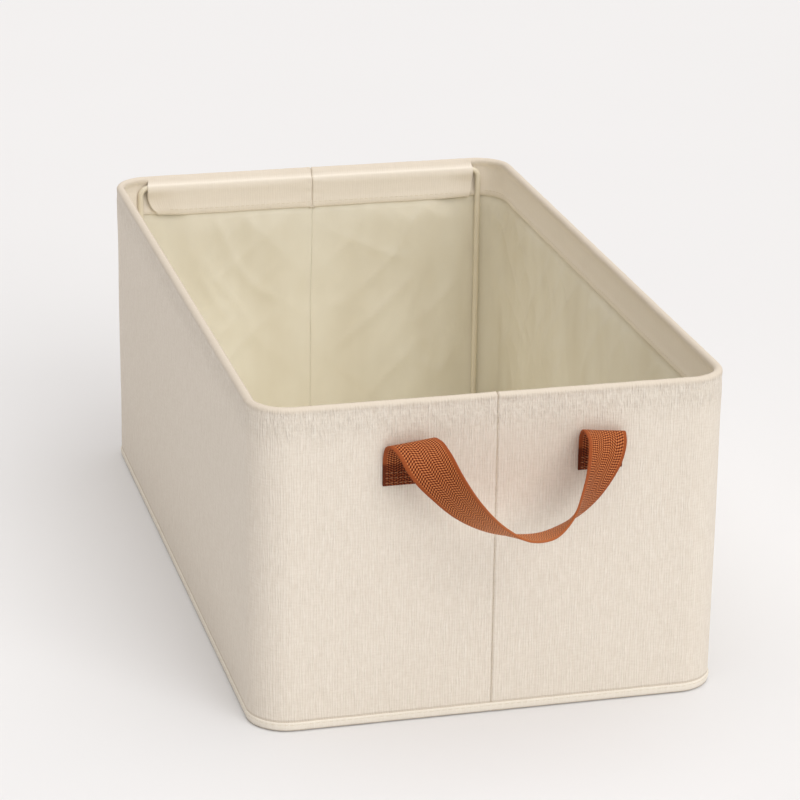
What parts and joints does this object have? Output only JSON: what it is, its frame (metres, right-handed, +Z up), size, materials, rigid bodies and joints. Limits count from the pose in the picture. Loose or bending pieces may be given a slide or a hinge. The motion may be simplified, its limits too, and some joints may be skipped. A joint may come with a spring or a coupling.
{
  "type": "fabric storage bin",
  "caption": "Open rectangular linen storage bin with a coated lining, a folding wire frame and a webbing carrying handle on each end.",
  "frame": {"origin": "on the floor, under the middle of the bin", "axes": "+Z up, +Y towards the back end, +X right; the handles are on the front (-Y) and back (+Y) ends"},
  "size_m": [0.3, 0.6218, 0.21],
  "materials": {
    "linen": "cream linen-look cloth with fine upright ribs",
    "coated_lining": "cream coated cloth, soft sheen",
    "webbing": "rust-brown twill webbing",
    "coated_wire": "cream plastic-coated steel wire",
    "board": "plain stiff sheet",
    "seam_thread": "cream sewing thread",
    "tack_thread": "rust-brown heavy thread",
    "backing_cloth": "plain woven patch"
  },
  "bodies": {
    "shell": {"outer_panel_left": "linen", "outer_panel_right": "linen", "lining_left": "coated_lining", "lining_right": "coated_lining", "outer_bottom": "linen", "bottom_binding": "linen", "base_board": "board", "lining_bottom": "coated_lining", "front_seam_thread": "seam_thread", "back_seam_thread": "seam_thread", "band_hem_thread": "seam_thread", "binding_thread": "seam_thread", "rim_wire": "coated_wire", "front_handle_tab_left": "webbing", "front_handle_tab_right": "webbing", "front_handle_stitches": "tack_thread", "front_handle_backing": "backing_cloth", "back_handle_tab_left": "webbing", "back_handle_tab_right": "webbing", "back_handle_stitches": "tack_thread", "back_handle_backing": "backing_cloth"},
    "back_leg": {"back_leg_frame": "coated_wire"},
    "front_leg": {"front_leg_frame": "coated_wire"},
    "front_handle": {"front_handle_loop": "webbing"},
    "back_handle": {"back_handle_loop": "webbing"}
  },
  "joints": [
    {"name": "back_leg_fold", "type": "hinge", "parent": "shell", "child": "back_leg", "pos_m": [0, 0.2485, 0.2022], "axis": [-1, 0, 0], "range_deg": [0, 90]},
    {"name": "front_leg_fold", "type": "hinge", "parent": "shell", "child": "front_leg", "pos_m": [0, -0.2485, 0.2022], "axis": [1, 0, 0], "range_deg": [0, 90]},
    {"name": "front_handle_swing", "type": "hinge", "parent": "shell", "child": "front_handle", "pos_m": [0, -0.2664, 0.186], "axis": [-1, 0, 0], "range_deg": [-25, 120]},
    {"name": "back_handle_swing", "type": "hinge", "parent": "shell", "child": "back_handle", "pos_m": [0, 0.2664, 0.186], "axis": [1, 0, 0], "range_deg": [-25, 120]}
  ]
}
